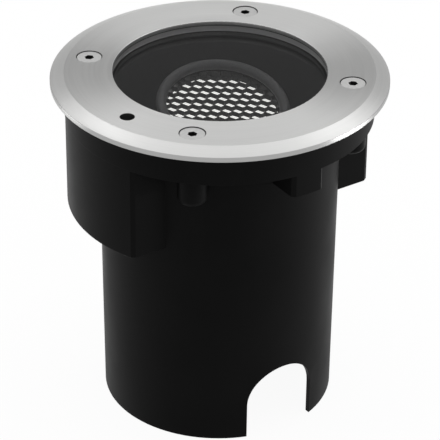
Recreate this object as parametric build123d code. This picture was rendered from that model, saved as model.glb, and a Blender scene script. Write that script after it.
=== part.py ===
from build123d import *
import math
import os

# Recessed in-ground light: a steel trim ring over a thick glass, a die-cast lamp housing
# with a turning and tilting lamp, and a black moulded sleeve that stays in the ground.
# Frame: origin at the centre of the sleeve's bottom rim, +Z up, cable arches at -Y and +Y.
# Sizes are millimetres and degrees.

# Mounting sleeve
sleeve_height = 167.5
sleeve_wall = 3.0
sleeve_rim_wall = 2.4
tube_base_radius = 56.5
tube_draft = 0.43
collar_overhang = 16.9
collar_height = 15.5
collar_wall = 3.3
ledge_thickness = 3.0
shoulder_depth = 46.8
shoulder_chord = 29.3
shoulder_setback = 0.2
shoulder_corner = 1.4
shoulder_edge_round = 1.0
web_thickness = 3.0
boss_radius = 7.0
boss_floor = 3.5
boss_round = 3.0
boss_neck_width = 7.0
key_width = 17.0
key_corner = 1.6
key_depth = 11.0
key_wall = 2.6
arch_width = 37.0
arch_straight = 18.0

# Trim ring
ring_overhang = 6.6
ring_bevel_width = 6.6
ring_thickness = 5.1
ring_bevel_drop = 2.7
ring_glass_overlap = 1.3
ring_inner_lip = 2.0
ring_edge_round = 0.4
tool_hole_radius = 3.5
tool_hole_azimuth = -165.4

# Trim screws and their inserts
screw_count = 4
screw_offset = 6.7
screw_azimuth = 45.0
screw_length = 30.0
screw_shank_radius = 3.0
screw_head_radius = 5.8
screw_head_gap = 0.45
screw_head_rim = 0.5
screw_head_recess = 0.45
screw_socket_flats = 4.0
screw_socket_depth = 2.3
screw_hole_gap = 0.3
insert_radius = 4.0
insert_length = 10.0
insert_thread_gap = 0.1
tip_room = 1.6

# Glass and gasket
glass_seat = 1.8
glass_thickness = 8.0
glass_edge_bevel = 0.5
gasket_wall = 2.4
gasket_top_lip = 0.5
gasket_seat = 1.6
gasket_lip_setback = 0.3

# Lamp housing
pot_wall = 2.9
pot_clearance = 0.6
pot_draft = 0.35
pot_floor_thickness = 3.0
pot_corner_round = 4.0
flange_clearance = 0.3
flange_rim_wall = 2.5
flange_boss_radius = 6.6
flange_top_gap = 0.5
post_radius = 7.0
stud_radius = 3.6
stud_height = 3.0
fit_gap = 0.1
seal_gap = 0.3

# Cable gland
gland_offset = 28.0
gland_thread_radius = 10.0
gland_hex_flats = 26.0
gland_hex_height = 6.0
gland_washer_thickness = 2.0
gland_stem_radius = 8.6
gland_stem_length = 10.0
gland_nut_flats = 23.0
gland_nut_hex_height = 9.0
gland_nut_dome_height = 6.0
gland_nut_mouth_radius = 5.6
gland_seal_radius = 6.6
gland_seal_nose = 2.0
gland_cable_radius = 4.0
locknut_thickness = 5.0

# Terminal block and earth point
terminal_ways = 3
terminal_pitch = 9.0
terminal_depth = 17.0
terminal_base_height = 4.0
terminal_tower_height = 11.0
terminal_tower_width = 6.6
terminal_offset = 27.0
terminal_screw_spacing = 9.0
terminal_screw_radius = 1.7
terminal_screw_sink = 0.8
terminal_wire_radius = 1.9
terminal_clearance = 2.0
fixing_screw_radius = 1.5
fixing_head_radius = 2.8
fixing_head_height = 1.8
fixing_screw_reach = 5.0
fixing_hole_gap = 0.2
earth_offset = 30.0
earth_azimuth = 180.0
earth_washer_radius = 4.6
earth_washer_thickness = 1.0

# Yoke that turns on the post, and its centre screw
yoke_azimuth = -12.7
yoke_thickness = 2.0
yoke_width = 18.0
yoke_bend_radius = 3.0
moving_gap = 0.3
pan_screw_radius = 2.5
pan_head_radius = 4.6
pan_head_height = 2.8
pan_screw_reach = 10.0
pan_washer_radius = 7.0
pan_washer_thickness = 1.0
swing_clearance = 5.3

# Tilting lamp unit, drawn about its pivot with the lamp axis upright
lamp_tilt = 14.6
tilt_limit = 16.6
glass_clearance = 0.83
pivot_screw_radius = 2.0
pivot_head_radius = 4.0
pivot_head_height = 2.6
pivot_washer_radius = 4.6
pivot_washer_thickness = 0.8
ear_radius = 5.0
ear_length = 3.4
bezel_offset = 18.0
bezel_bead_radius = 2.45
bezel_bead_setout = -0.3
bezel_skirt_wall = 1.2
bezel_skirt_height = 9.0
carrier_wall = 1.2
carrier_tail = 8.0
louvre_overlap = 3.3
louvre_height = 2.6
louvre_rim = 0.8
louvre_turn = -15.0
cell_pitch = 5.0
cell_wall = 0.6
retainer_height = 1.9
lamp_radius = 25.0
lamp_rim_height = 3.0
lamp_length = 46.5
lamp_rim_step = 1.8
lamp_neck_radius = 12.5
lamp_neck_length = 17.0
lamp_ledge = 1.5
lens_thickness = 1.2
pin_spacing = 10.0
pin_stem_radius = 1.5
pin_head_radius = 2.4
pin_stem_length = 4.0
pin_head_length = 3.0
holder_radius = 13.0
holder_height = 18.0
holder_waist_radius = 10.5
holder_flange_height = 7.0
seat_gap = 0.05

# Places worked out from the sizes above
collar_radius = tube_base_radius + collar_overhang
collar_bottom = sleeve_height - collar_height
ledge_top = collar_bottom + ledge_thickness
shoulder_bottom = collar_bottom - shoulder_depth
key_bottom = collar_bottom - key_depth
tube_slope = math.tan(math.radians(tube_draft))
tube_top_radius = tube_base_radius + ledge_top * tube_slope
pot_radius = tube_base_radius - sleeve_wall - pot_clearance
chamber_radius = pot_radius - pot_wall
glass_radius = chamber_radius + glass_seat
gasket_radius = glass_radius + gasket_wall
rim_inner_radius = gasket_radius + seal_gap
flange_radius = collar_radius - collar_wall - flange_clearance
ring_radius = collar_radius + ring_overhang
ring_flat_radius = ring_radius - ring_bevel_width
ring_opening_radius = glass_radius - ring_glass_overlap
ring_top = sleeve_height + ring_thickness
ring_rebate_top = ring_top - ring_inner_lip
glass_top = ring_rebate_top - gasket_top_lip
glass_bottom = glass_top - glass_thickness
seat_height = glass_bottom - gasket_seat
screw_circle = tube_base_radius + screw_offset
screw_top = ring_top - screw_head_recess
screw_tip = screw_top - screw_length
screw_cone_bottom = screw_top - screw_head_rim - (screw_head_radius - screw_shank_radius)
boss_hole_bottom = screw_tip - tip_room
boss_bottom = boss_hole_bottom - boss_floor
louvre_radius = lamp_radius + louvre_overlap
carrier_inner_radius = louvre_radius + fit_gap
carrier_radius = carrier_inner_radius + carrier_wall
bead_ring_radius = carrier_radius + bezel_bead_setout
carrier_top = bezel_offset - bezel_bead_radius - seat_gap
louvre_bottom = carrier_top - louvre_height
lens_top = louvre_bottom - retainer_height
lamp_front = lens_top - lens_thickness
lamp_rim_bottom = lamp_front - lamp_rim_height
lamp_throat_radius = lamp_radius - lamp_rim_step
lamp_base = lamp_front - lamp_length
holder_top = lamp_base - fit_gap
holder_bottom = holder_top - holder_height
ear_face = carrier_radius + ear_length
arm_inner = ear_face + pivot_washer_thickness + moving_gap
arm_outer = arm_inner + yoke_thickness
pivot_head_face = arm_outer + moving_gap

# The bezel just clears the glass at full tilt, and the lamp swings clear of the centre screw.
bezel_reach = (bezel_offset * math.cos(math.radians(tilt_limit))
               + bead_ring_radius * math.sin(math.radians(tilt_limit)) + bezel_bead_radius)
pivot_height = glass_bottom - bezel_reach - glass_clearance
lamp_swing = math.hypot(holder_bottom, holder_waist_radius)
pan_head_top = pivot_height - lamp_swing - swing_clearance
yoke_top = pan_head_top - pan_head_height - pan_washer_thickness - moving_gap
yoke_bottom = yoke_top - yoke_thickness
post_top = yoke_bottom - moving_gap
terminal_top = yoke_bottom - terminal_clearance
stud_top = terminal_top - terminal_tower_height
pot_floor_top = stud_top - stud_height
pot_floor_height = pot_floor_top - pot_floor_thickness


def turned(*points):
    """Solid of revolution about Z from (radius, height) corners."""
    return revolve(Plane.XZ * make_face(Polyline(*points, close=True)), Axis.Z)


def rod(radius, low, high):
    """Upright cylinder between two heights."""
    return Pos(0, 0, low) * Cylinder(radius, high - low, align=(Align.CENTER, Align.CENTER, Align.MIN))


def tube(outer, inner, low, high):
    """Upright pipe between two heights."""
    return rod(outer, low, high) - rod(inner, low, high)


def hexagon(flats, low, high):
    """Upright six-sided bar, given its size across flats."""
    outline = RegularPolygon(flats / 2, 6, major_radius=False)
    return Pos(0, 0, low) * extrude(outline, high - low)


def at_azimuth(azimuth, shape):
    """Turn a shape drawn on +X to an azimuth about Z."""
    return Rot(0, 0, azimuth) * shape


def group(shapes):
    """Several separate solids kept in one node."""
    return Compound(children=list(shapes))


def at_screws(shape):
    """Copies of a shape at every trim screw."""
    places = PolarLocations(screw_circle, screw_count, screw_azimuth)
    return [place * shape for place in places]


def tilted(shape):
    """Put a lamp-unit shape at its pivot, turned and tilted as it stands."""
    return Pos(0, 0, pivot_height) * Rot(0, 0, yoke_azimuth) * Rot(lamp_tilt, 0, 0) * shape


def slotted_head(radius, height, low, slot_width, slot_depth):
    """Cheese head standing on a height, with a driver slot across its top."""
    head = rod(radius, low, low + height)
    head = fillet(head.edges().group_by(Axis.Z)[-1], height / 4)
    slot = Pos(0, 0, low + height) * Box(3 * radius, slot_width, 2 * slot_depth)
    return head - slot


def slotted_screw(shank_radius, reach, head_radius, head_height, low):
    """Slotted screw whose head stands on a height and whose shank goes down."""
    head = slotted_head(head_radius, head_height, low, shank_radius * 0.5, head_height * 0.5)
    return head + rod(shank_radius, low - reach, low + head_height / 4)


def shoulder_outline(inset):
    """Plan of the deep shoulder behind the front chord, drawn in by an inset, with its corners cut off."""
    radius = collar_radius - shoulder_setback - inset
    front = -shoulder_chord + inset
    corner = max(shoulder_corner - inset, 0.5)
    chord_half = math.sqrt(radius ** 2 - front ** 2) - corner
    rim_start = math.degrees(math.asin(front / radius) + corner / radius)
    rim = CenterArc((0, 0), radius, rim_start, 180 - 2 * rim_start)
    chord = Polyline(rim @ 1, (-chord_half, front), (chord_half, front), rim @ 0)
    return make_face([rim, chord])


def build_sleeve():
    bore_base = tube_base_radius - sleeve_rim_wall
    bore_top = tube_top_radius - sleeve_wall
    edge_radius = tube_base_radius + collar_bottom * tube_slope
    collar_bore = collar_radius - collar_wall
    shell = turned((bore_base, 0), (tube_base_radius, 0), (edge_radius, collar_bottom),
                   (collar_radius, collar_bottom), (collar_radius, sleeve_height),
                   (collar_bore, sleeve_height), (collar_bore, ledge_top), (bore_top, ledge_top))
    bore = turned((0, 0), (bore_base, 0), (bore_top, ledge_top), (0, ledge_top))

    shoulder = Pos(0, 0, shoulder_bottom) * extrude(shoulder_outline(0), shoulder_depth + ledge_thickness)
    shoulder = fillet(shoulder.edges().group_by(Axis.Z)[0], shoulder_edge_round)
    pocket = Pos(0, 0, shoulder_bottom + sleeve_wall) * extrude(
        shoulder_outline(collar_wall), shoulder_depth + ledge_thickness)
    pocket -= rod(tube_top_radius, 0, ring_top)
    body = shell + (shoulder - bore) - (pocket - rod(ring_radius, ledge_top, ring_top))

    # Webs tie the rear bosses to both walls of the pocket, with one more between them.
    pocket_floor = shoulder_bottom + sleeve_wall
    web_start = tube_top_radius - sleeve_wall / 2
    web_end = collar_radius - collar_wall / 2
    web = Pos(web_start, 0, pocket_floor) * Box(
        web_end - web_start, web_thickness, ledge_top - pocket_floor,
        align=(Align.MIN, Align.CENTER, Align.MIN))
    for azimuth in (screw_azimuth, 90, 180 - screw_azimuth):
        body += at_azimuth(azimuth, web)

    boss = rod(boss_radius, boss_bottom, ledge_top)
    boss = fillet(boss.edges().group_by(Axis.Z)[0], boss_round)
    neck = Pos(web_start - screw_circle, 0, boss_bottom + boss_round) * Box(
        screw_circle - web_start, boss_neck_width, ledge_top - boss_bottom - boss_round,
        align=(Align.MIN, Align.CENTER, Align.MIN))
    insert_hole = rod(insert_radius + fit_gap / 2, ledge_top - insert_length, ledge_top)
    tip_hole = rod(screw_shank_radius + screw_hole_gap, boss_hole_bottom, ledge_top)
    for place in PolarLocations(screw_circle, screw_count, screw_azimuth):
        body += place * (boss + neck)
        body -= place * (insert_hole + tip_hole)

    # The key under the collar above the front arch, cored from above.
    key_back = tube_top_radius - sleeve_wall / 2
    key_plan = Circle(collar_radius) & Pos(0, -key_back) * Rectangle(
        key_width, collar_radius, align=(Align.CENTER, Align.MAX))
    key = Pos(0, 0, key_bottom) * extrude(key_plan, key_depth)
    key = chamfer(key.edges().filter_by(Axis.Z).sort_by(Axis.Y)[:2], key_corner)
    key_core = Pos(0, -tube_top_radius - key_wall, key_bottom + key_wall) * Box(
        key_width - 2 * key_wall, collar_radius - tube_top_radius - 2 * key_wall - collar_wall,
        ledge_top - key_bottom, align=(Align.CENTER, Align.MAX, Align.MIN))
    body += key
    body -= key_core

    arch_plan = Rectangle(arch_width, 2 * arch_straight) + Pos(0, arch_straight) * Circle(arch_width / 2)
    arch = extrude(Plane.XZ * arch_plan, tube_base_radius * 1.5, both=True)
    return body - arch


def build_inserts():
    insert = tube(insert_radius, screw_shank_radius + insert_thread_gap,
                  ledge_top - insert_length, ledge_top)
    return group(at_screws(insert))


def build_ring():
    rebate_radius = gasket_radius + seal_gap
    bevel_bottom = ring_top - ring_bevel_drop
    ring = turned((ring_opening_radius, ring_top), (ring_flat_radius, ring_top),
                  (ring_radius, bevel_bottom), (ring_radius, sleeve_height),
                  (rebate_radius, sleeve_height), (rebate_radius, ring_rebate_top),
                  (ring_opening_radius, ring_rebate_top))
    rims = ring.edges().filter_by(GeomType.CIRCLE)
    outer = [edge for edge in rims if abs(edge.radius - ring_radius) < seat_gap]
    inner = [edge for edge in rims if abs(edge.radius - ring_opening_radius) < seat_gap]
    ring = fillet(outer + inner, ring_edge_round)
    mouth = screw_head_radius + screw_head_gap
    throat = screw_shank_radius + screw_hole_gap
    cone_top = screw_top - screw_head_rim + screw_head_gap - seat_gap
    sink = turned((0, ring_top), (mouth, ring_top), (mouth, cone_top),
                  (throat, cone_top - (mouth - throat)), (throat, sleeve_height), (0, sleeve_height))
    for place in PolarLocations(screw_circle, screw_count, screw_azimuth):
        ring -= place * sink
    tool_hole = Pos(screw_circle, 0, 0) * rod(tool_hole_radius, sleeve_height, ring_top)
    return ring - at_azimuth(tool_hole_azimuth, tool_hole)


def build_trim_screws():
    screw = turned((0, screw_top), (screw_head_radius, screw_top),
                   (screw_head_radius, screw_top - screw_head_rim),
                   (screw_shank_radius, screw_cone_bottom), (screw_shank_radius, screw_tip), (0, screw_tip))
    screw -= hexagon(screw_socket_flats, screw_top - screw_socket_depth, screw_top)
    return group(at_screws(screw))


def build_glass():
    glass = rod(glass_radius, glass_bottom, glass_top)
    return chamfer(glass.edges().filter_by(GeomType.CIRCLE), glass_edge_bevel)


def build_gasket():
    top_lip_radius = ring_opening_radius + gasket_lip_setback
    return turned((chamber_radius, seat_height), (gasket_radius, seat_height),
                  (gasket_radius, ring_rebate_top), (top_lip_radius, ring_rebate_top),
                  (top_lip_radius, glass_top), (glass_radius, glass_top),
                  (glass_radius, glass_bottom), (chamber_radius, glass_bottom))


def build_housing():
    taper = (seat_height - pot_floor_height) * math.tan(math.radians(pot_draft))
    rim_radius = rim_inner_radius + flange_rim_wall
    rim_top = sleeve_height - flange_top_gap
    pot = turned((0, pot_floor_height), (pot_radius - taper, pot_floor_height), (pot_radius, ledge_top),
                 (flange_radius, ledge_top), (flange_radius, seat_height), (rim_radius, seat_height),
                 (rim_radius, rim_top), (rim_inner_radius, rim_top), (rim_inner_radius, seat_height),
                 (0, seat_height))
    chamber = turned((0, pot_floor_top), (chamber_radius - taper, pot_floor_top),
                     (chamber_radius, seat_height), (0, seat_height))
    chamber = fillet(chamber.edges().group_by(Axis.Z)[0], pot_corner_round)
    pot = fillet(pot.edges().group_by(Axis.Z)[0], pot_corner_round + pot_floor_thickness)
    pot -= chamber

    # A boss at each trim screw carries the ring, clear of the gasket groove.
    boss = rod(flange_boss_radius, seat_height - ledge_thickness, sleeve_height)
    groove = rod(rim_inner_radius, seat_height, sleeve_height)
    hole = rod(screw_shank_radius + screw_hole_gap, ledge_top, sleeve_height)
    for place in PolarLocations(screw_circle, screw_count, screw_azimuth):
        pot += place * boss - groove
        pot -= place * hole

    post = rod(post_radius, pot_floor_top - fit_gap, post_top)
    post_hole = rod(pan_screw_radius + fit_gap, yoke_top - pan_screw_reach - tip_room, post_top)
    stud = rod(stud_radius, pot_floor_top - fit_gap, stud_top)
    stud_hole = rod(fixing_screw_radius + fit_gap, stud_top - fixing_screw_reach, stud_top)
    pot += post
    pot -= post_hole
    for place in fixing_places() + [earth_place()]:
        pot += place * stud
        pot -= place * stud_hole
    gland_hole = Pos(0, gland_offset, 0) * rod(
        gland_thread_radius + fixing_hole_gap, pot_floor_height, pot_floor_top)
    return pot - gland_hole


def fixing_places():
    """Where the terminal block's two fixing screws stand, between its ways."""
    return [Pos(side * terminal_pitch / 2, -terminal_offset, 0) for side in (-1, 1)]


def earth_place():
    """Where the earth screw stands."""
    return Rot(0, 0, earth_azimuth) * Pos(earth_offset, 0, 0)


def at_gland(shape):
    """Move a gland piece from the axis to its hole in the floor."""
    return Pos(0, gland_offset, 0) * shape


def build_gland():
    """Body, washer, locknut, seal and cap nut of the cable gland."""
    washer_low = pot_floor_height - gland_washer_thickness
    hex_low = washer_low - gland_hex_height
    stem_low = hex_low - gland_stem_length
    locknut_top = pot_floor_top + locknut_thickness
    body = rod(gland_thread_radius, washer_low, locknut_top + tip_room)
    body += hexagon(gland_hex_flats, hex_low, washer_low)
    body += rod(gland_stem_radius, stem_low, hex_low)
    body -= rod(gland_seal_radius + fit_gap, stem_low, locknut_top + tip_room)
    washer = tube(gland_hex_flats / 2, gland_thread_radius + fit_gap, washer_low, pot_floor_height)
    locknut = hexagon(gland_hex_flats, pot_floor_top, locknut_top)
    locknut -= rod(gland_thread_radius + fit_gap, pot_floor_top, locknut_top)

    nut_top = hex_low - moving_gap
    nut_low = nut_top - gland_nut_hex_height
    dome_low = nut_low - gland_nut_dome_height
    dome_radius = gland_nut_flats / 2 - seal_gap
    dome = turned((0, dome_low), (gland_nut_mouth_radius + gland_washer_thickness, dome_low),
                  (dome_radius, nut_low), (0, nut_low))
    nut = hexagon(gland_nut_flats, nut_low, nut_top) + dome
    nut -= rod(gland_stem_radius + fit_gap, stem_low - fit_gap, nut_top)
    nut -= rod(gland_nut_mouth_radius, dome_low, nut_top)
    nose = rod(gland_nut_mouth_radius - fit_gap, stem_low - gland_seal_nose, stem_low)
    seal = rod(gland_seal_radius, stem_low, hex_low) + nose
    seal -= rod(gland_cable_radius, stem_low - gland_seal_nose, hex_low)
    return {"gland_body": at_gland(body), "gland_washer": at_gland(washer),
            "gland_locknut": at_gland(locknut), "gland_nut": at_gland(nut), "gland_seal": at_gland(seal)}


def build_terminal():
    """Terminal block, its clamp screws and its fixing screws."""
    length = terminal_ways * terminal_pitch
    base_top = stud_top + terminal_base_height
    tower_top = terminal_top
    base = Pos(0, 0, stud_top) * Box(length, terminal_depth, terminal_base_height,
                                     align=(Align.CENTER, Align.CENTER, Align.MIN))
    tower = Pos(0, 0, base_top) * Box(terminal_tower_width, terminal_depth, tower_top - base_top,
                                      align=(Align.CENTER, Align.CENTER, Align.MIN))
    tower = fillet(tower.edges().group_by(Axis.Z)[-1], terminal_screw_sink)
    wire_hole = Pos(0, 0, base_top + terminal_wire_radius) * Rot(90, 0, 0) * Cylinder(
        terminal_wire_radius, terminal_depth)
    clamp_low = base_top + 2 * terminal_wire_radius
    clamp_hole = rod(terminal_screw_radius + fit_gap, clamp_low, tower_top)
    clamp = rod(terminal_screw_radius, clamp_low, tower_top - terminal_screw_sink)
    clamp -= Pos(0, 0, tower_top - terminal_screw_sink) * Box(
        terminal_screw_radius * 3, terminal_screw_radius / 3, terminal_screw_radius)
    block = base
    clamps = []
    for way in range(terminal_ways):
        across = (way - (terminal_ways - 1) / 2) * terminal_pitch
        block += Pos(across, 0, 0) * (tower - wire_hole)
        for side in (-0.5, 0.5):
            place = Pos(across, side * terminal_screw_spacing, 0)
            block -= place * clamp_hole
            clamps.append(Pos(0, -terminal_offset, 0) * place * clamp)
    block = Pos(0, -terminal_offset, 0) * block
    fixing_hole = rod(fixing_screw_radius + fixing_hole_gap, stud_top, base_top)
    head_room = rod(fixing_head_radius + fixing_hole_gap, base_top - fixing_head_height, tower_top)
    for place in fixing_places():
        block -= place * (fixing_hole + head_room)
    fixing = fixing_screw(base_top - fixing_head_height, base_top - fixing_head_height - stud_top)
    return {"terminal_block": block, "terminal_screws": group(clamps),
            "terminal_fixing_screws": group(place * fixing for place in fixing_places())}


def fixing_screw(head_low, grip):
    """Small slotted screw that goes through a grip into a stud."""
    return slotted_screw(fixing_screw_radius, grip + fixing_screw_reach - tip_room,
                         fixing_head_radius, fixing_head_height, head_low)


def build_earth():
    """Earth screw with its cup washer."""
    washer_top = stud_top + earth_washer_thickness
    washer = tube(earth_washer_radius, fixing_screw_radius + fixing_hole_gap, stud_top, washer_top)
    screw = fixing_screw(washer_top, earth_washer_thickness)
    return {"earth_washer": earth_place() * washer, "earth_screw": earth_place() * screw}


def build_pan_fixing():
    """Centre screw and washer that the yoke turns on."""
    washer_low = yoke_top + moving_gap
    washer_top = washer_low + pan_washer_thickness
    washer = tube(pan_washer_radius, pan_screw_radius + fit_gap, washer_low, washer_top)
    screw = slotted_screw(pan_screw_radius, washer_top - yoke_top + pan_screw_reach,
                          pan_head_radius, pan_head_height, washer_top)
    return {"pan_washer": washer, "pan_screw": screw}


def build_yoke():
    half_span = arm_outer
    arm_top = pivot_height + yoke_width / 2
    outside = Pos(0, (yoke_bottom + arm_top) / 2) * Rectangle(2 * half_span, arm_top - yoke_bottom)
    outside = fillet(outside.vertices().group_by(Axis.Y)[0], yoke_bend_radius)
    inside = Pos(0, (yoke_top + arm_top + yoke_width) / 2) * Rectangle(
        2 * arm_inner, arm_top + yoke_width - yoke_top)
    inside = fillet(inside.vertices().group_by(Axis.Y)[0], yoke_bend_radius - yoke_thickness)
    strip = extrude(Plane.XZ * (outside - inside), yoke_width / 2, both=True)
    corners = strip.edges().filter_by(Axis.X).group_by(Axis.Z)[-1]
    strip = fillet(corners, yoke_width / 2 - fit_gap)
    pivot_hole = Pos(0, 0, pivot_height) * Rot(0, 90, 0) * Cylinder(
        pivot_screw_radius + moving_gap, 3 * half_span)
    pan_hole = rod(pan_screw_radius + moving_gap, yoke_bottom, yoke_top)
    return at_azimuth(yoke_azimuth, strip - pivot_hole - pan_hole)


def across_axis(shape):
    """The same upright shape laid along the tilt axis, at both ends."""
    return [tilted(Rot(0, side * 90, 0) * shape) for side in (1, -1)]


def build_pivots():
    """Pivot screws through the yoke arms, and the washers under the ears."""
    washer = tube(pivot_washer_radius, pivot_screw_radius + fit_gap, ear_face,
                  ear_face + pivot_washer_thickness)
    screw = slotted_screw(pivot_screw_radius, pivot_head_face - carrier_radius + fit_gap,
                          pivot_head_radius, pivot_head_height, pivot_head_face)
    return {"pivot_washers": group(across_axis(washer)), "pivot_screws": group(across_axis(screw))}


def build_carrier():
    ledge_low = lamp_rim_bottom - lamp_ledge
    lamp_bore = lamp_radius + fit_gap
    ledge_hole = lamp_throat_radius + seal_gap
    cup = turned((carrier_inner_radius, -carrier_tail), (carrier_radius, -carrier_tail),
                 (carrier_radius, carrier_top), (carrier_inner_radius, carrier_top),
                 (carrier_inner_radius, lamp_front), (lamp_bore, lamp_front),
                 (lamp_bore, lamp_rim_bottom), (ledge_hole, lamp_rim_bottom),
                 (ledge_hole, ledge_low), (carrier_inner_radius, ledge_low))
    ear = rod(ear_radius, carrier_radius - carrier_wall / 2, ear_face)
    bore = rod(pivot_screw_radius + fit_gap / 2, carrier_inner_radius - fit_gap, ear_face)
    for side in (90, -90):
        cup += Rot(0, side, 0) * ear
        cup -= Rot(0, side, 0) * bore
    return tilted(cup)


def build_bezel():
    skirt_inner = carrier_radius + fit_gap
    skirt_low = bezel_offset - bezel_skirt_height
    bead = Pos(bead_ring_radius, bezel_offset) * Circle(bezel_bead_radius)
    skirt_top = bezel_offset - bezel_bead_radius / 2
    skirt = Pos(skirt_inner, skirt_low) * Rectangle(
        bezel_skirt_wall, skirt_top - skirt_low, align=(Align.MIN, Align.MIN))
    return tilted(revolve(Plane.XZ * (bead + skirt), Axis.Z))


def build_louvre():
    """Honeycomb of six-sided cells inside a thin rim."""
    row_step = cell_pitch * math.sqrt(3) / 2
    rows = math.ceil(louvre_radius / row_step)
    columns = math.ceil(louvre_radius / cell_pitch) + 1
    cell = RegularPolygon((cell_pitch - cell_wall) / 2, 6, major_radius=False, rotation=30)
    cells = []
    for row in range(-rows, rows + 1):
        for column in range(-columns, columns + 1):
            place = Vector((column + row % 2 / 2) * cell_pitch, row * row_step)
            if place.length < louvre_radius:
                cells.append(Pos(place) * cell)
    window = Circle(louvre_radius - louvre_rim)
    plan = Circle(louvre_radius) - (Sketch() + cells & window)
    louvre = Pos(0, 0, louvre_bottom) * Rot(0, 0, louvre_turn) * extrude(plan, louvre_height)
    return tilted(louvre)


def build_lamp():
    """Reflector lamp with its contact pins, and the frosted lens that lies on its front."""
    neck_top = lamp_base + lamp_neck_length
    front = Polyline((0, lamp_front), (lamp_radius, lamp_front), (lamp_radius, lamp_rim_bottom),
                     (lamp_throat_radius, lamp_rim_bottom))
    cup = TangentArc(front @ 1, (lamp_neck_radius, neck_top), tangent=(0, -1))
    neck = Polyline((lamp_neck_radius, neck_top), (lamp_neck_radius, lamp_base),
                    (0, lamp_base), (0, lamp_front))
    shell = revolve(Plane.XZ * make_face([front, cup, neck]), Axis.Z)
    lens = rod(louvre_radius, lamp_front, lens_top)
    stem_low = lamp_base - pin_stem_length
    pin = rod(pin_stem_radius, stem_low, lamp_base)
    pin += rod(pin_head_radius, stem_low - pin_head_length, stem_low)
    pins = [tilted(Pos(side * pin_spacing / 2, 0, 0) * pin) for side in (-1, 1)]
    return {"lamp_shell": tilted(shell), "lamp_lens": tilted(lens), "lamp_pins": group(pins)}


def build_holder():
    flange_low = holder_top - holder_flange_height
    holder = rod(holder_radius, flange_low, holder_top) + rod(holder_waist_radius, holder_bottom, flange_low)
    well_low = lamp_base - pin_stem_length - pin_head_length - seal_gap
    well = rod(pin_head_radius + seal_gap, well_low, holder_top)
    for side in (-1, 1):
        holder -= Pos(side * pin_spacing / 2, 0, 0) * well
    return tilted(holder)


def build_retainer():
    return tilted(tube(louvre_radius, louvre_radius - louvre_rim, lens_top, louvre_bottom))


def main():
    pieces = {
        "mounting_sleeve": build_sleeve(),
        "threaded_inserts": build_inserts(),
        "trim_ring": build_ring(),
        "trim_screws": build_trim_screws(),
        "glass_lens": build_glass(),
        "glass_gasket": build_gasket(),
        "lamp_housing": build_housing(),
        "yoke_bracket": build_yoke(),
        "lamp_carrier": build_carrier(),
        "lamp_bezel": build_bezel(),
        "honeycomb_louvre": build_louvre(),
        "louvre_spacer": build_retainer(),
        "lamp_holder": build_holder(),
    }
    for family in (build_gland(), build_terminal(), build_earth(), build_pan_fixing(),
                   build_pivots(), build_lamp()):
        pieces.update(family)
    os.makedirs("parts", exist_ok=True)
    for node, shape in pieces.items():
        export_step(shape, f"parts/{node}.step")


main()
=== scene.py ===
"""Recessed ground light: finishes for its pieces, its glass and louvre, and a white studio round it."""
import math

import bmesh
import bpy
from bpy.props import FloatProperty, FloatVectorProperty, PointerProperty
from mathutils import Matrix, Vector


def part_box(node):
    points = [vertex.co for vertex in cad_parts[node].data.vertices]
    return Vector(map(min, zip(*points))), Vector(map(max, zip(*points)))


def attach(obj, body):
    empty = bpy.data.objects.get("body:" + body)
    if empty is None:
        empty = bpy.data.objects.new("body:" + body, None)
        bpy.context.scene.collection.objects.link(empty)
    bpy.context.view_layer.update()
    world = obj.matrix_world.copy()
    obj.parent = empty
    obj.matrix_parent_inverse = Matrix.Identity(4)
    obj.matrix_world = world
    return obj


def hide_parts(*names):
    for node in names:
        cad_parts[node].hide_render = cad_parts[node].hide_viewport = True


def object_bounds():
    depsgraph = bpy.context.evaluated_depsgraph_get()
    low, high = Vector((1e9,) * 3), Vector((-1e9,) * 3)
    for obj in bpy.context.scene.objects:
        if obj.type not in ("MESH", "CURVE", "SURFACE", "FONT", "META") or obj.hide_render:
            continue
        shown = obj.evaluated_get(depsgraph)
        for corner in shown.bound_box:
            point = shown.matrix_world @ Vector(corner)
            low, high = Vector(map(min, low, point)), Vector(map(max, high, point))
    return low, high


bl_info = {
    "name": "Recessed Ground Light",
    "version": (1, 0, 0),
    "blender": (4, 5, 0),
    "location": "View3D > Sidebar > Ground Light",
    "description": "Dresses a recessed ground light and sets it in a white studio",
    "category": "Object",
}

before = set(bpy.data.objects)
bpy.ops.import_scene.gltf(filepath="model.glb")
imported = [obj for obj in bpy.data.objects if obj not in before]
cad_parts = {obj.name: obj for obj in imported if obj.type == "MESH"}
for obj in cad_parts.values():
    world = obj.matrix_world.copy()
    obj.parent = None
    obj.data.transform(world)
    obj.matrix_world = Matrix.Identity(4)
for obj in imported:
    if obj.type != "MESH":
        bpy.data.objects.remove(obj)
cad_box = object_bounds()

MM = 0.001

# Faces that meet at less than these angles look like one smooth surface
SMOOTH_ANGLE = math.radians(32)
RING_SMOOTH_ANGLE = math.radians(15)

# Corners closer than this are joined
WELD_DISTANCE = 0.005 * MM

# Trim ring and its screws
SCREW_HEAD_RADIUS = 5.8 * MM
COUNTERSINK_RADIUS = 6.3 * MM
RING_OPENING_RADIUS = 50.5 * MM
RING_EDGE_ROUND = 0.5 * MM
RING_LIP_DEPTH = 0.2 * MM

# Painted shade: in its zones, what lies deeper than this below the ring's face loses a share of the steel's
# brightness
RING_FACE_DEPTH = 0.12 * MM
COUNTERSINK_PAINTED_SHADE = 0.9
OPENING_PAINTED_SHADE = 0.7
LIP_PAINTED_SHADE = 0.4

# Glass, a little smaller than its seat in the gasket
GLASS_PLAY = 0.1 * MM
GLASS_SIDES = 256

# Lamp unit at rest, and its louvre with a little play in its seat
LAMP_TURN = math.radians(-12.7)
LAMP_TILT = math.radians(14.6)
LOUVRE_RADIUS = 28.25 * MM
LOUVRE_HEIGHT = 2.6 * MM
LOUVRE_SIDES = 96
LOUVRE_SPARE_ROWS = 2

# Most values of a noise texture lie in this range
NOISE_RANGE = {"From Min": 0.3, "From Max": 0.7}

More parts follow.
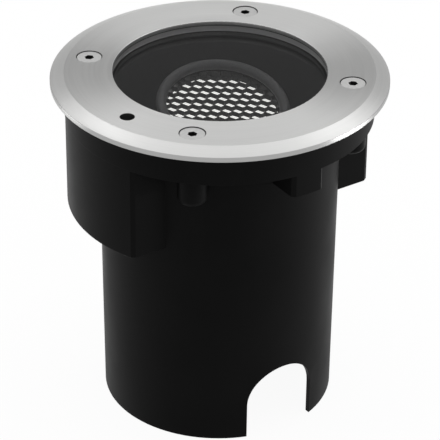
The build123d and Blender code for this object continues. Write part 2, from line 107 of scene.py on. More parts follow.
# Sizes of the marks in the finishes
GRAIN_DEPTH = 0.02 * MM
FROST_DEPTH = 0.01 * MM
FROST_SIZE = 0.5 * MM
SCREW_MARK = 1.5 * MM
GLOSS_CLOUD = 35 * MM
GLASS_WAVE = 60 * MM

# The glass is polished where its surface faces up or down by more than this
POLISHED_FACING = 0.9

# Colours of the pieces that stay hidden or hardly show
BRASS = "#c9a25a"
BRIGHT_ZINC = "#c3c7ca"
NICKEL = "#c6c3bb"
BLACK_POLYAMIDE = "#1b1b1c"
BLACK_NYLON = "#2a2a2a"
BLACK_RUBBER = "#161616"
WHITE_POLYAMIDE = "#e4e2da"
WHITE_POLYCARBONATE = "#e6e6e2"
STEATITE = "#d8d3c4"

# Studio, with the camera's sensor in millimetres, as Blender has it
WHITE = "#ffffff"
FLOOR_PAINT = "#f3f3f3"
FLOOR_GAP = 0.1 * MM
SENSOR_WIDTH = 36

# Place of each softbox, and its width and height
HIGH_SOFTBOXES = {
    "back": ((0.45, 0.67, 1.13), (2.1, 0.55)),
    "top": ((0.20, 0.30, 1.35), (1.7, 0.5)),
    "back_left": ((-0.07, 0.80, 1.13), (0.3, 0.3)),
    "back_right": ((0.764, 0.248, 1.13), (0.3, 0.3)),
}

# These stay lower than the trim ring, so that its face and the glass don't mirror them
LOW_SOFTBOXES = {
    "right": ((0.80, -0.56, 0.08), (0.5, 0.15)),
    "left": ((-0.65, 0.75, 0.08), (0.4, 0.15)),
}


def linear(code):
    """Linear colour, with alpha, of an sRGB hex code."""
    channels = [int(code[start:start + 2], 16) / 255 for start in (1, 3, 5)]
    return tuple(c / 12.92 if c <= 0.04045 else ((c + 0.055) / 1.055) ** 2.4 for c in channels) + (1.0,)


def colour_setting(name, description, code):
    """Colour property with an sRGB hex default."""
    return FloatVectorProperty(
        name=name, description=description, subtype="COLOR", size=4, min=0, max=1, default=linear(code))


class GroundLightFinish(bpy.types.PropertyGroup):
    """Colours and surface sizes of the light's pieces."""

    steel: colour_setting("Stainless steel", "Trim ring and its screws", "#d6d6d5")
    plastic: colour_setting("Black ABS", "Moulded sleeve", "#090909")
    coat: colour_setting("Powder coat", "Die-cast housing, lamp carrier and yoke", "#202021")
    bezel: colour_setting("Bezel paint", "Rounded rim round the louvre", "#525253")
    louvre: colour_setting("Louvre black", "Anodised honeycomb", "#080808")
    gasket: colour_setting("Silicone", "Gasket round the glass", "#4a4a4a")
    glass: colour_setting("Glass", "Low-iron tempered glass", "#fbfbfb")
    glass_edge: colour_setting("Glass edge", "Ground edge of the glass", "#a0a0a0")
    glass_bevel: FloatProperty(
        name="Glass bevel", description="Width of the ground bevel on the glass's rims",
        default=0.5 * MM, unit="LENGTH")
    lens: colour_setting("Lamp lens", "Frosted front of the lamp", "#fbfbf8")
    lens_glow: FloatProperty(
        name="Lens glow", description="Brightness of the lit lens", default=0.9, min=0)
    socket_painted_shade: FloatProperty(
        name="Socket shade", description="Depth over which the screw sockets darken",
        default=0.15 * MM, unit="LENGTH")
    brush_spacing: FloatProperty(
        name="Brush line spacing", description="Distance between the turned lines on the trim",
        default=0.9 * MM, unit="LENGTH")
    mould_grain: FloatProperty(
        name="Mould grain", description="Size of the spark-eroded grain on the sleeve",
        default=0.8 * MM, unit="LENGTH")
    edge_round: FloatProperty(
        name="Edge round", description="Radius that softens the look of moulded edges",
        default=0.3 * MM, unit="LENGTH")


class GroundLightLouvre(bpy.types.PropertyGroup):
    """Shape of the foil honeycomb in the louvre."""

    cell_pitch: FloatProperty(
        name="Cell pitch", description="Distance between cells along a row",
        default=5.194 * MM, unit="LENGTH")
    foil: FloatProperty(
        name="Foil", description="Thickness of the walls between cells", default=0.25 * MM, unit="LENGTH")
    rim: FloatProperty(
        name="Rim", description="Width of the band round the honeycomb", default=0.8 * MM, unit="LENGTH")
    squeeze: FloatProperty(
        name="Squeeze", description="Distance between rows as a share of a regular honeycomb's",
        default=0.927, min=0.5, max=1, subtype="FACTOR")
    rack: FloatProperty(
        name="Rack", description="Angle by which the honeycomb leans sideways",
        default=math.radians(-8.28), subtype="ANGLE")
    turn: FloatProperty(
        name="Turn", description="Angle of the rows to the lamp's tilt axis",
        default=math.radians(-16.53), subtype="ANGLE")
    offset: FloatVectorProperty(
        name="Offset", description="Place of one cell's middle, before the turn",
        default=(2.192 * MM, 0.458 * MM, 0), subtype="TRANSLATION", unit="LENGTH")


class GroundLightStage(bpy.types.PropertyGroup):
    """Camera, lamps and floor."""

    camera_place: FloatVectorProperty(
        name="Camera place", description="Where the camera stands",
        default=(-0.5698, -0.8467, 0.7032), subtype="TRANSLATION", unit="LENGTH")
    camera_target: FloatVectorProperty(
        name="Camera target", description="Point in the middle of the picture",
        default=(0.000523, -0.000354, 0.0900), subtype="TRANSLATION", unit="LENGTH")
    camera_roll: FloatProperty(
        name="Camera roll", description="Turn of the camera about its own axis",
        default=math.radians(0.508), subtype="ANGLE")
    lens_length: FloatProperty(
        name="Lens", description="Focal length on a 36 mm sensor", default=199.96, min=1, unit="CAMERA")
    floor_size: FloatProperty(
        name="Floor size", description="Side of the square floor", default=6.0, unit="LENGTH")
    floor_white: FloatProperty(
        name="Floor white", description="Share of plain white in the floor, the rest takes the shadow",
        default=0.94, min=0, max=1, subtype="FACTOR")
    ambient: FloatProperty(
        name="Ambient", description="Light from all round on matt surfaces", default=0.85, min=0)
    card_direction: FloatVectorProperty(
        name="Dark card", description="Direction of the dark card that the glass mirrors",
        default=(0.49, 0.72, 0.49), subtype="DIRECTION")
    card_shade: FloatProperty(
        name="Card shade", description="Brightness of the dark card",
        default=0.15, min=0, max=1, subtype="FACTOR")
    card_inner: FloatProperty(
        name="Card size", description="Half angle of the card's full shade",
        default=math.radians(5), subtype="ANGLE")
    card_outer: FloatProperty(
        name="Card fade", description="Half angle at which the card's soft edge ends",
        default=math.radians(9), subtype="ANGLE")
    backdrop_shade: FloatProperty(
        name="Backdrop shade", description="Brightness of the grey backdrop round the dark card",
        default=0.54, min=0, max=1, subtype="FACTOR")
    backdrop_inner: FloatProperty(
        name="Backdrop size", description="Half angle of the backdrop's full shade",
        default=math.radians(40), subtype="ANGLE")
    backdrop_outer: FloatProperty(
        name="Backdrop fade", description="Half angle at which the backdrop's soft edge ends",
        default=math.radians(75), subtype="ANGLE")
    back_power: FloatProperty(
        name="Back softbox", description="Power of the wide softbox above and behind",
        default=2.3, unit="POWER")
    back_left_power: FloatProperty(
        name="Back left softbox", description="Power of the small softbox that lights the bevel's left",
        default=0.4, unit="POWER")
    back_right_power: FloatProperty(
        name="Back right softbox", description="Power of the small softbox that lights the bevel's right",
        default=0.34, unit="POWER")
    top_power: FloatProperty(
        name="Top softbox", description="Power of the long softbox overhead", default=2.1, unit="POWER")
    right_power: FloatProperty(
        name="Right softbox", description="Power of the low softbox at the right",
        default=5.5, unit="POWER")
    left_power: FloatProperty(
        name="Left softbox", description="Power of the low softbox at the left", default=1.4, unit="POWER")


def add_node(tree, kind, sockets=None, **attributes):
    """Add a node. Each named input takes a value, or the output that is linked to it."""
    node = tree.nodes.new(kind)
    for name, value in attributes.items():
        setattr(node, name, value)
    for name, value in (sockets or {}).items():
        if isinstance(value, bpy.types.NodeSocket):
            tree.links.new(value, node.inputs[name])
        else:
            node.inputs[name].default_value = value
    return node


def new_material(name):
    """Empty material and its node tree."""
    material = bpy.data.materials.new(name)
    material.use_nodes = True
    material.node_tree.nodes.clear()
    return material, material.node_tree


def turned_stainless(finish, ring_top, painted_shade_zones):
    """Stainless steel brushed on a lathe: fine lines run round the ring and spread its highlights across.

    Real lines lie about 0.1 mm apart. They are drawn coarser, so that they show. Shade is painted into the
    countersinks, the inner wall and the outer lip: each painted shade zone below the face is a radius, a half
    width and the share of the steel's brightness that it takes away.
    """
    material, tree = new_material("turned_stainless_steel")
    place = add_node(tree, "ShaderNodeTexCoord").outputs["Object"]
    flat = add_node(tree, "ShaderNodeVectorMath", {0: place, 1: (1, 1, 0)}, operation="MULTIPLY")
    length = add_node(tree, "ShaderNodeVectorMath", {0: flat.outputs[0]}, operation="LENGTH")
    radius = length.outputs["Value"]
    around = add_node(tree, "ShaderNodeVectorMath", {0: flat.outputs[0]}, operation="NORMALIZE")
    height = add_node(tree, "ShaderNodeSeparateXYZ", {0: place}).outputs["Z"]
    across = add_node(tree, "ShaderNodeMath", {0: radius, 1: height}, operation="SUBTRACT")
    lines = add_node(tree, "ShaderNodeMath", {
        0: across.outputs[0], 1: 1 / finish.brush_spacing}, operation="MULTIPLY")
    rise = add_node(tree, "ShaderNodeCombineXYZ", {"Z": lines.outputs[0]})
    path = add_node(tree, "ShaderNodeVectorMath", {0: around.outputs[0], 1: rise.outputs[0]}, operation="ADD")
    streak = add_node(tree, "ShaderNodeTexNoise", {
        "Vector": path.outputs[0], "Scale": 1.0, "Detail": 4.0, "Roughness": 0.65}).outputs["Fac"]
    shade = add_node(tree, "ShaderNodeMapRange", {
        **NOISE_RANGE, "Value": streak, "To Min": 0.97, "To Max": 1.03}).outputs[0]
    low = add_node(tree, "ShaderNodeMath", {
        0: height, 1: ring_top - RING_FACE_DEPTH}, operation="LESS_THAN")
    # Painted shade: each zone below the face loses its share of the steel's brightness
    for middle, half_width, painted_shade_share in painted_shade_zones:
        near = add_node(tree, "ShaderNodeMath", {0: radius, 1: middle, 2: half_width}, operation="COMPARE")
        sunk = add_node(tree, "ShaderNodeMath", {
            0: low.outputs[0], 1: near.outputs[0]}, operation="MULTIPLY")
        kept = add_node(tree, "ShaderNodeMath", {
            0: sunk.outputs[0], 1: -painted_shade_share, 2: 1.0}, operation="MULTIPLY_ADD")
        shade = add_node(tree, "ShaderNodeMath", {
            0: shade, 1: kept.outputs[0]}, operation="MULTIPLY").outputs[0]
    colour = add_node(tree, "ShaderNodeHueSaturation", {"Color": finish.steel, "Value": shade})
    rough = add_node(tree, "ShaderNodeMapRange", {
        **NOISE_RANGE, "Value": streak, "To Min": 0.35, "To Max": 0.43})
    bump = add_node(tree, "ShaderNodeBump", {"Height": streak, "Strength": 0.06, "Distance": GRAIN_DEPTH})
    tangent = add_node(tree, "ShaderNodeTangent", direction_type="RADIAL", axis="Z")
    shader = add_node(tree, "ShaderNodeBsdfPrincipled", {
        "Base Color": colour.outputs[0], "Metallic": 1.0, "Roughness": rough.outputs[0],
        "Normal": bump.outputs[0], "Tangent": tangent.outputs[0],
        "Anisotropic": 0.84, "Anisotropic Rotation": 0.25})
    add_node(tree, "ShaderNodeOutputMaterial", {"Surface": shader.outputs[0]})
    return material


def socket_screw_steel(finish, head_top):
    """Turned stainless screws: a bright satin head, with shade painted into the socket and on the head's rim.

    Real tool marks are about 0.1 mm wide. They are drawn coarser, so that they show.
    """
    material, tree = new_material("turned_stainless_screws")
    place = add_node(tree, "ShaderNodeTexCoord").outputs["Object"]
    marks = add_node(tree, "ShaderNodeTexNoise", {"Vector": place, "Scale": 1 / SCREW_MARK, "Detail": 3.0})
    height = add_node(tree, "ShaderNodeSeparateXYZ", {0: place})
    # Painted shade: below the head's top, the socket and the head's rim darken nearly to black
    depth = add_node(tree, "ShaderNodeMapRange", {
        "Value": height.outputs["Z"], "From Min": head_top - finish.socket_painted_shade, "From Max": head_top,
        "To Min": 0.08, "To Max": 1.0})
    value = add_node(tree, "ShaderNodeMapRange", {
        **NOISE_RANGE, "Value": marks.outputs["Fac"], "To Min": 0.88, "To Max": 0.97})
    shade = add_node(tree, "ShaderNodeMath", {0: value.outputs[0], 1: depth.outputs[0]}, operation="MULTIPLY")
    colour = add_node(tree, "ShaderNodeHueSaturation", {"Color": finish.steel, "Value": shade.outputs[0]})
    shader = add_node(tree, "ShaderNodeBsdfPrincipled", {
        "Base Color": colour.outputs[0], "Metallic": 1.0, "Roughness": 0.48})
    add_node(tree, "ShaderNodeOutputMaterial", {"Surface": shader.outputs[0]})
    return material


def plated_metal(name, colour, roughness, mark):
    """Small turned, pressed or plated metal pieces: bright, with faint marks that break the shine.

    Real marks are about 0.1 mm wide. They are drawn coarser, at the size of a mark, so that they show.
    """
    material, tree = new_material(name)
    place = add_node(tree, "ShaderNodeTexCoord").outputs["Object"]
    marks = add_node(tree, "ShaderNodeTexNoise", {"Vector": place, "Scale": 1 / mark, "Detail": 3.0})
    value = add_node(tree, "ShaderNodeMapRange", {
        **NOISE_RANGE, "Value": marks.outputs["Fac"], "To Min": 0.85, "To Max": 1.1})
    tint = add_node(tree, "ShaderNodeHueSaturation", {"Color": colour, "Value": value.outputs[0]})
    rough = add_node(tree, "ShaderNodeMapRange", {
        **NOISE_RANGE, "Value": marks.outputs["Fac"],
        "To Min": roughness - 0.05, "To Max": roughness + 0.07})
    shader = add_node(tree, "ShaderNodeBsdfPrincipled", {
        "Base Color": tint.outputs[0], "Metallic": 1.0, "Roughness": rough.outputs[0]})
    add_node(tree, "ShaderNodeOutputMaterial", {"Surface": shader.outputs[0]})
    return material


def moulded_abs(finish):
    """Black ABS from a spark-eroded mould: satin, fine even grain, softly rounded edges, cloudy gloss.

    The real grain is about 0.1 mm. It is drawn coarser, so that it shows.
    """
    material, tree = new_material("moulded_black_abs")
    place = add_node(tree, "ShaderNodeTexCoord").outputs["Object"]
    grain = add_node(tree, "ShaderNodeTexNoise", {
        "Vector": place, "Scale": 1 / finish.mould_grain, "Detail": 2.0})
    cloud = add_node(tree, "ShaderNodeTexNoise", {"Vector": place, "Scale": 1 / GLOSS_CLOUD, "Detail": 4.0})
    value = add_node(tree, "ShaderNodeMapRange", {
        **NOISE_RANGE, "Value": cloud.outputs["Fac"], "To Min": 0.8, "To Max": 1.25})
    colour = add_node(tree, "ShaderNodeHueSaturation", {"Color": finish.plastic, "Value": value.outputs[0]})
    rough = add_node(tree, "ShaderNodeMapRange", {
        **NOISE_RANGE, "Value": cloud.outputs["Fac"], "To Min": 0.38, "To Max": 0.5})
    edge = add_node(tree, "ShaderNodeBevel", {"Radius": finish.edge_round}, samples=4)
    bump = add_node(tree, "ShaderNodeBump", {
        "Height": grain.outputs["Fac"], "Normal": edge.outputs[0], "Strength": 0.3, "Distance": GRAIN_DEPTH})
    shader = add_node(tree, "ShaderNodeBsdfPrincipled", {
        "Base Color": colour.outputs[0], "Roughness": rough.outputs[0], "Normal": bump.outputs[0],
        "Specular IOR Level": 0.04})
    add_node(tree, "ShaderNodeOutputMaterial", {"Surface": shader.outputs[0]})
    return material


def coated(name, colour, roughness, grain):
    """Coated, painted, moulded or cut pieces of one colour: a fine grain dulls their gloss.

    The real grain is a tenth to a third of a millimetre. It is drawn coarser, so that it shows.
    """
    material, tree = new_material(name)
    place = add_node(tree, "ShaderNodeTexCoord").outputs["Object"]
    fine = add_node(tree, "ShaderNodeTexNoise", {"Vector": place, "Scale": 1 / grain, "Detail": 2.0})
    value = add_node(tree, "ShaderNodeMapRange", {
        **NOISE_RANGE, "Value": fine.outputs["Fac"], "To Min": 0.88, "To Max": 1.12})
    tint = add_node(tree, "ShaderNodeHueSaturation", {"Color": colour, "Value": value.outputs[0]})
    rough = add_node(tree, "ShaderNodeMapRange", {
        **NOISE_RANGE, "Value": fine.outputs["Fac"],
        "To Min": roughness - 0.06, "To Max": roughness + 0.06})
    bump = add_node(tree, "ShaderNodeBump", {
        "Height": fine.outputs["Fac"], "Strength": 0.3, "Distance": GRAIN_DEPTH})
    shader = add_node(tree, "ShaderNodeBsdfPrincipled", {
        "Base Color": tint.outputs[0], "Roughness": rough.outputs[0], "Normal": bump.outputs[0],
        "Specular IOR Level": 0.12})
    add_node(tree, "ShaderNodeOutputMaterial", {"Surface": shader.outputs[0]})
    return material


def tempered_glass(finish):
    """Tempered glass: polished faces, clear and slightly wavy, and a ground grey edge."""
    material, tree = new_material("tempered_glass_ground_edge")
    coordinates = add_node(tree, "ShaderNodeTexCoord")
    wave = add_node(tree, "ShaderNodeTexNoise", {
        "Vector": coordinates.outputs["Object"], "Scale": 1 / GLASS_WAVE, "Detail": 1.0})
    bump = add_node(tree, "ShaderNodeBump", {
        "Height": wave.outputs["Fac"], "Strength": 0.1, "Distance": GRAIN_DEPTH})
    facing = add_node(tree, "ShaderNodeSeparateXYZ", {0: coordinates.outputs["Normal"]})
    upright = add_node(tree, "ShaderNodeMath", {0: facing.outputs["Z"]}, operation="ABSOLUTE")
    polished = add_node(tree, "ShaderNodeMath", {
        0: upright.outputs[0], 1: POLISHED_FACING}, operation="GREATER_THAN")
    # In a Mix node of colours, inputs 6 and 7 and output 2 are the colours
    colour = add_node(tree, "ShaderNodeMix", {
        "Factor": polished.outputs[0], 6: finish.glass_edge, 7: finish.glass}, data_type="RGBA")
    rough = add_node(tree, "ShaderNodeMapRange", {"Value": polished.outputs[0], "To Min": 0.6, "To Max": 0.0})
    shader = add_node(tree, "ShaderNodeBsdfPrincipled", {
        "Base Color": colour.outputs[2], "Transmission Weight": polished.outputs[0], "IOR": 1.5,
        "Roughness": rough.outputs[0], "Specular IOR Level": 0.08, "Normal": bump.outputs[0]})
    add_node(tree, "ShaderNodeOutputMaterial", {"Surface": shader.outputs[0]})
    return material


def frosted_lens(finish):
    """Frosted polycarbonate lamp front, lit from behind: an even soft white.

    Real frost is finer than 0.1 mm. It is drawn coarser, so that it shows.
    """
    material, tree = new_material("moulded_frosted_polycarbonate")
    place = add_node(tree, "ShaderNodeTexCoord").outputs["Object"]
    frost = add_node(tree, "ShaderNodeTexNoise", {"Vector": place, "Scale": 1 / FROST_SIZE, "Detail": 2.0})
    bump = add_node(tree, "ShaderNodeBump", {
        "Height": frost.outputs["Fac"], "Strength": 0.2, "Distance": FROST_DEPTH})
    shader = add_node(tree, "ShaderNodeBsdfPrincipled", {
        "Base Color": finish.lens, "Roughness": 0.5, "Normal": bump.outputs[0],
        "Emission Color": finish.lens, "Emission Strength": finish.lens_glow})
    add_node(tree, "ShaderNodeOutputMaterial", {"Surface": shader.outputs[0]})
    return material


def new_piece(name, shape):
    """Object made from a finished bmesh, which is freed."""
    mesh = bpy.data.meshes.new(name)
    shape.to_mesh(mesh)
    shape.free()
    piece = bpy.data.objects.new(name, mesh)
    bpy.context.scene.collection.objects.link(piece)
    return piece


def raise_faces(shape, height):
    """Make flat faces into a solid of a height."""
    raised = bmesh.ops.extrude_face_region(shape, geom=shape.faces[:])["geom"]
    corners = [part for part in raised if isinstance(part, bmesh.types.BMVert)]
    bmesh.ops.translate(shape, verts=corners, vec=(0, 0, height))
    bmesh.ops.recalc_face_normals(shape, faces=shape.faces)


def glass_pane(name, radius, bottom, top, bevel):
    """Round pane of thick glass with its rims ground off."""
    shape = bmesh.new()
    bmesh.ops.create_circle(shape, cap_ends=True, segments=GLASS_SIDES, radius=radius)
    bmesh.ops.translate(shape, verts=shape.verts, vec=(0, 0, bottom))
    raise_faces(shape, top - bottom)
    rims = [edge for edge in shape.edges if edge.verts[0].co.z == edge.verts[1].co.z]
    bmesh.ops.bevel(shape, geom=rims, offset=bevel, affect="EDGES", segments=1, profile=0.5, material=-1)
    # The faces with four corners are the edge and its bevels
    for face in shape.faces:
        face.smooth = len(face.verts) == 4
    pane = new_piece(name, shape)
    split = pane.modifiers.new("edges", "EDGE_SPLIT")
    split.split_angle = SMOOTH_ANGLE
    return pane


def honeycomb(name, louvre, middle):
    """Round foil honeycomb in a rim, racked sideways and squeezed a little, on the lamp unit at rest."""
    shape = bmesh.new()
    row_step = louvre.cell_pitch * math.sqrt(3) / 2
    cell_radius = louvre.cell_pitch / math.sqrt(3)
    window = LOUVRE_RADIUS - louvre.rim
    racked = Matrix.Identity(4)
    racked[0][1] = math.tan(louvre.rack)
    racked[1][1] = louvre.squeeze
    plan = Matrix.Rotation(louvre.turn, 4, "Z") @ Matrix.Translation(louvre.offset) @ racked
    # The spare rows fill the rim, though the plan is offset, squeezed and racked
    reach = math.ceil(LOUVRE_RADIUS / row_step) + LOUVRE_SPARE_ROWS
    for row in range(-reach, reach + 1):
        for column in range(-2 * reach, 2 * reach + 1):
            cell = plan @ Matrix.Translation(((column + row / 2) * louvre.cell_pitch, row * row_step, 0))
            if cell.translation.length < LOUVRE_RADIUS + louvre.cell_pitch:
                bmesh.ops.create_circle(shape, cap_ends=True, segments=6, radius=cell_radius, matrix=cell)
    bmesh.ops.remove_doubles(shape, verts=shape.verts, dist=WELD_DISTANCE)
    openings = shape.faces[:]
    bmesh.ops.inset_individual(shape, faces=openings, thickness=louvre.foil / 2, use_even_offset=True)
    bmesh.ops.delete(shape, geom=openings, context="FACES")
    for side in range(LOUVRE_SIDES):
        outwards = Matrix.Rotation(math.tau * side / LOUVRE_SIDES, 3, "Z") @ Vector((1, 0, 0))
        bmesh.ops.bisect_plane(
            shape, geom=shape.verts[:] + shape.edges[:] + shape.faces[:], dist=WELD_DISTANCE,
            plane_co=outwards * window, plane_no=outwards, clear_outer=True)
    rim = bmesh.ops.create_circle(shape, cap_ends=True, segments=LOUVRE_SIDES, radius=LOUVRE_RADIUS)["verts"]
    opening = rim[0].link_faces[0]
    bmesh.ops.inset_region(
        shape, faces=[opening], thickness=louvre.rim, use_even_offset=True, use_boundary=True)
    bmesh.ops.delete(shape, geom=[opening], context="FACES")
    raise_faces(shape, LOUVRE_HEIGHT)
    turned = Matrix.Rotation(LAMP_TURN, 4, "Z")
    tilted = Matrix.Rotation(LAMP_TILT, 4, "X")
    seat = Matrix.Translation(middle) @ turned @ tilted @ Matrix.Translation((0, 0, -LOUVRE_HEIGHT / 2))
    bmesh.ops.transform(shape, matrix=seat, verts=shape.verts)
    # Extruding leaves corners and walls in any order, and this gives them the same one each run
    shape.verts.sort(key=lambda corner: corner.co.x)
    shape.faces.sort(key=lambda face: face.calc_center_median().x)
    return new_piece(name, shape)


def dress(material, *nodes, smooth_angle=SMOOTH_ANGLE):
    """Give built pieces a finish and smooth faces that meet at less than an angle."""
    for name in nodes:
        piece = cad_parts[name]
        for slot in piece.material_slots:
            slot.material = material
        piece.data.polygons.foreach_set("use_smooth", [True] * len(piece.data.polygons))
        weld = piece.modifiers.new("weld", "WELD")
        weld.merge_threshold = WELD_DISTANCE
        split = piece.modifiers.new("edges", "EDGE_SPLIT")
        split.split_angle = smooth_angle


class GROUNDLIGHT_OT_dress_sleeve(bpy.types.Operator):
    """Finish the moulded sleeve and its brass inserts"""

    bl_idname = "ground_light.dress_sleeve"
    bl_label = "Dress the sleeve"

    def execute(self, context):
        dress(moulded_abs(context.scene.ground_light_finish), "mounting_sleeve")
        dress(plated_metal("turned_brass", linear(BRASS), roughness=0.3, mark=1.0 * MM), "threaded_inserts")
        return {"FINISHED"}


class GROUNDLIGHT_OT_dress_trim(bpy.types.Operator):
    """Finish the trim ring and its screws in stainless steel"""

    bl_idname = "ground_light.dress_trim"
    bl_label = "Dress the trim"

    def execute(self, context):
        finish = context.scene.ground_light_finish
        screw_corner = Vector(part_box("trim_screws")[1])
        ring_corner = Vector(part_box("trim_ring")[1])
        # The screws stand on the diagonals, so their box ends a head's radius past one, along X and along Y
        screw_circle = math.hypot(screw_corner.x, screw_corner.y) - SCREW_HEAD_RADIUS * math.sqrt(2)
        # Painted shade darkens the countersinks, the ring's inner wall and its outer lip
        painted_shade_zones = (
            (screw_circle, COUNTERSINK_RADIUS, COUNTERSINK_PAINTED_SHADE),
            (RING_OPENING_RADIUS, RING_EDGE_ROUND, OPENING_PAINTED_SHADE),
            (ring_corner.x, RING_LIP_DEPTH, LIP_PAINTED_SHADE),
        )
        steel = turned_stainless(finish, ring_corner.z, painted_shade_zones)
        dress(steel, "trim_ring", smooth_angle=RING_SMOOTH_ANGLE)
        dress(socket_screw_steel(finish, screw_corner.z), "trim_screws")
        return {"FINISHED"}


class GROUNDLIGHT_OT_dress_glass(bpy.types.Operator):
    """Make the glass pane, and finish it and its gasket"""

    bl_idname = "ground_light.dress_glass"
    bl_label = "Dress the glass"

    def execute(self, context):
        finish = context.scene.ground_light_finish
        low, high = (Vector(corner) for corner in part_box("glass_lens"))
        pane = glass_pane("glass_pane", high.x - GLASS_PLAY, low.z, high.z, finish.glass_bevel)
        pane.data.materials.append(tempered_glass(finish))
        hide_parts("glass_lens")
        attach(pane, "fixed")
        dress(coated("moulded_grey_silicone", finish.gasket, roughness=0.55, grain=0.8 * MM), "glass_gasket")
        return {"FINISHED"}


class GROUNDLIGHT_OT_dress_housing(bpy.types.Operator):
    """Finish the die-cast housing with its gland, terminals and earth point"""

    bl_idname = "ground_light.dress_housing"
    bl_label = "Dress the housing"

    def execute(self, context):
        finish = context.scene.ground_light_finish
        dress(coated("powder_coated_die_casting", finish.coat, roughness=0.5, grain=0.6 * MM),
              "lamp_housing")
        dress(coated("moulded_black_polyamide", linear(BLACK_POLYAMIDE), roughness=0.45, grain=0.5 * MM),
              "gland_body", "gland_locknut", "gland_nut")
        dress(coated("moulded_black_silicone", linear(BLACK_RUBBER), roughness=0.7, grain=0.5 * MM),
              "gland_washer", "gland_seal")
        dress(coated("moulded_white_polyamide", linear(WHITE_POLYAMIDE), roughness=0.4, grain=0.5 * MM),
              "terminal_block")
        dress(plated_metal("bright_zinc_plate", linear(BRIGHT_ZINC), roughness=0.28, mark=0.8 * MM),
              "terminal_screws", "terminal_fixing_screws", "pan_screw", "pan_washer")
        dress(plated_metal("pressed_brass", linear(BRASS), roughness=0.3, mark=1.0 * MM),
              "earth_screw", "earth_washer")
        return {"FINISHED"}


class GROUNDLIGHT_OT_dress_lamp(bpy.types.Operator):
    """Make the foil honeycomb, and finish the yoke and the tilting lamp unit"""

    bl_idname = "ground_light.dress_lamp"
    bl_label = "Dress the lamp"

    def execute(self, context):
        finish = context.scene.ground_light_finish
        dress(coated("powder_coated_lamp_bracket", finish.coat, roughness=0.45, grain=0.6 * MM),
              "yoke_bracket", "lamp_carrier")
        dress(coated("satin_painted_bezel", finish.bezel, roughness=0.42, grain=0.6 * MM), "lamp_bezel")
        low, high = (Vector(corner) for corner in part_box("honeycomb_louvre"))
        louvre = honeycomb("foil_honeycomb", context.scene.ground_light_louvre, (low + high) / 2)
        louvre.data.materials.append(
            coated("black_anodised_honeycomb", finish.louvre, roughness=0.4, grain=0.5 * MM))
        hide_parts("honeycomb_louvre")
        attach(louvre, "lamp_unit")
        dress(coated("cut_black_rubber", linear(BLACK_RUBBER), roughness=0.7, grain=0.5 * MM),
              "louvre_spacer")
        dress(frosted_lens(finish), "lamp_lens")
        dress(coated("moulded_white_polycarbonate", linear(WHITE_POLYCARBONATE), roughness=0.35,
                     grain=0.8 * MM), "lamp_shell")
        dress(coated("pressed_steatite_ceramic", linear(STEATITE), roughness=0.6, grain=0.7 * MM),
              "lamp_holder")
        dress(plated_metal("nickel_plate", linear(NICKEL), roughness=0.25, mark=0.8 * MM),
              "lamp_pins", "pivot_screws")
        dress(coated("moulded_black_nylon", linear(BLACK_NYLON), roughness=0.5, grain=0.5 * MM),
              "pivot_washers")
        return {"FINISHED"}


def soft_light(name, place, target, size, power):
    """Softbox of a width and height that points at a target."""
    lamp = bpy.data.lights.new(name, "AREA")
    lamp.shape = "RECTANGLE"
    lamp.size, lamp.size_y = size
    lamp.energy = power
    holder = bpy.data.objects.new(name, lamp)
    holder.location = place
    holder.rotation_euler = (Vector(target) - Vector(place)).to_track_quat("-Z", "Y").to_euler()
    bpy.context.scene.collection.objects.link(holder)


def seen_directly(tree):
    """1 for what the eye, a mirror or glass sees, and 0 for the light that falls on matt surfaces."""
    path = add_node(tree, "ShaderNodeLightPath")
    seen = add_node(tree, "ShaderNodeMath", {
        0: path.outputs["Is Camera Ray"], 1: path.outputs["Is Glossy Ray"]}, operation="MAXIMUM")
    return add_node(tree, "ShaderNodeMath", {
        0: seen.outputs[0], 1: path.outputs["Is Transmission Ray"]}, operation="MAXIMUM").outputs[0]


def white_world(stage):
    """White to the eye and in reflections, but for a grey backdrop with a dark card in its middle.

    Matt surfaces get a softer, even light instead.
    """
    world = bpy.data.worlds.new("white_studio")
    bpy.context.scene.world = world
    world.use_nodes = True
    tree = world.node_tree
    tree.nodes.clear()
    direction = add_node(tree, "ShaderNodeTexCoord").outputs["Generated"]
    nearness = add_node(tree, "ShaderNodeVectorMath", {
        0: direction, 1: Vector(stage.card_direction).normalized()}, operation="DOT_PRODUCT")
    backdrop = add_node(tree, "ShaderNodeMapRange", {
        "Value": nearness.outputs["Value"], "From Min": math.cos(stage.backdrop_outer),
        "From Max": math.cos(stage.backdrop_inner), "To Min": 1.0, "To Max": stage.backdrop_shade},
        interpolation_type="SMOOTHSTEP")
    shade = add_node(tree, "ShaderNodeMapRange", {
        "Value": nearness.outputs["Value"], "From Min": math.cos(stage.card_outer),
        "From Max": math.cos(stage.card_inner), "To Min": backdrop.outputs[0], "To Max": stage.card_shade},
        interpolation_type="SMOOTHSTEP")
    soft = add_node(tree, "ShaderNodeBackground", {"Color": linear(WHITE), "Strength": stage.ambient})
    white = add_node(tree, "ShaderNodeBackground", {"Color": linear(WHITE), "Strength": shade.outputs[0]})
    mixed = add_node(tree, "ShaderNodeMixShader", {
        0: seen_directly(tree), 1: soft.outputs[0], 2: white.outputs[0]})
    add_node(tree, "ShaderNodeOutputWorld", {"Surface": mixed.outputs[0]})


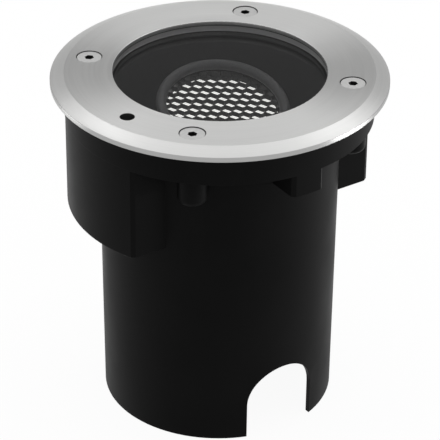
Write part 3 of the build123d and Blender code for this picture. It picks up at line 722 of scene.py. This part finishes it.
def pale_floor(size, white_share):
    """White floor, just under the light, that keeps a faint shadow."""
    shape = bmesh.new()
    bmesh.ops.create_grid(shape, x_segments=1, y_segments=1, size=size / 2)
    bmesh.ops.translate(shape, verts=shape.verts, vec=(0, 0, -FLOOR_GAP))
    floor = new_piece("floor", shape)
    material, tree = new_material("white_floor")
    share = add_node(tree, "ShaderNodeMath", {0: seen_directly(tree), 1: white_share}, operation="MULTIPLY")
    matt = add_node(tree, "ShaderNodeBsdfDiffuse", {"Color": linear(FLOOR_PAINT)})
    white = add_node(tree, "ShaderNodeEmission", {"Color": linear(WHITE), "Strength": 1.0})
    mixed = add_node(tree, "ShaderNodeMixShader", {
        0: share.outputs[0], 1: matt.outputs[0], 2: white.outputs[0]})
    add_node(tree, "ShaderNodeOutputMaterial", {"Surface": mixed.outputs[0]})
    floor.data.materials.append(material)
    return floor


def place_camera(stage):
    """Camera at the photograph's viewing angle."""
    place = Vector(stage.camera_place)
    aim = (Vector(stage.camera_target) - place).to_track_quat("-Z", "Y").to_matrix().to_4x4()
    lens = bpy.data.cameras.new("camera")
    lens.sensor_width = SENSOR_WIDTH
    lens.lens = stage.lens_length
    camera = bpy.data.objects.new("camera", lens)
    camera.matrix_world = Matrix.Translation(place) @ aim @ Matrix.Rotation(stage.camera_roll, 4, "Z")
    bpy.context.scene.collection.objects.link(camera)
    bpy.context.scene.camera = camera


class GROUNDLIGHT_OT_set_stage(bpy.types.Operator):
    """Set up the floor, the studio light and the camera"""

    bl_idname = "ground_light.set_stage"
    bl_label = "Set the stage"

    def execute(self, context):
        stage = context.scene.ground_light_stage
        pale_floor(stage.floor_size, stage.floor_white)
        white_world(stage)
        low, high = (Vector(corner) for corner in cad_box)
        middle = (low + high) / 2
        top = Vector((middle.x, middle.y, high.z))
        for softboxes, target in ((HIGH_SOFTBOXES, top), (LOW_SOFTBOXES, middle)):
            for name, (place, size) in softboxes.items():
                soft_light(f"{name}_softbox", place, target, size, getattr(stage, f"{name}_power"))
        place_camera(stage)
        context.scene.view_settings.view_transform = "Standard"
        return {"FINISHED"}


class GROUNDLIGHT_PT_panel(bpy.types.Panel):
    """Lists the settings and the steps that dress the light"""

    bl_idname = "GROUNDLIGHT_PT_panel"
    bl_label = "Ground Light"
    bl_space_type = "VIEW_3D"
    bl_region_type = "UI"
    bl_category = "Ground Light"

    def draw(self, context):
        scene = context.scene
        for settings in (scene.ground_light_finish, scene.ground_light_louvre, scene.ground_light_stage):
            column = self.layout.column()
            for name in settings.__annotations__:
                column.prop(settings, name)
        for operator in OPERATORS:
            self.layout.operator(operator.bl_idname)


OPERATORS = (
    GROUNDLIGHT_OT_dress_sleeve,
    GROUNDLIGHT_OT_dress_trim,
    GROUNDLIGHT_OT_dress_glass,
    GROUNDLIGHT_OT_dress_housing,
    GROUNDLIGHT_OT_dress_lamp,
    GROUNDLIGHT_OT_set_stage,
)
CLASSES = (GroundLightFinish, GroundLightLouvre, GroundLightStage) + OPERATORS + (GROUNDLIGHT_PT_panel,)


def register():
    """Add the classes and the scene's settings."""
    for entry in CLASSES:
        bpy.utils.register_class(entry)
    bpy.types.Scene.ground_light_finish = PointerProperty(type=GroundLightFinish)
    bpy.types.Scene.ground_light_louvre = PointerProperty(type=GroundLightLouvre)
    bpy.types.Scene.ground_light_stage = PointerProperty(type=GroundLightStage)


def unregister():
    """Take the settings and the classes away again."""
    del bpy.types.Scene.ground_light_stage
    del bpy.types.Scene.ground_light_louvre
    del bpy.types.Scene.ground_light_finish
    for entry in reversed(CLASSES):
        bpy.utils.unregister_class(entry)


def main():
    """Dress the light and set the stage."""
    register()
    for operator in OPERATORS:
        group, step = operator.bl_idname.split(".")
        getattr(getattr(bpy.ops, group), step)()


if __name__ == "__main__":
    main()
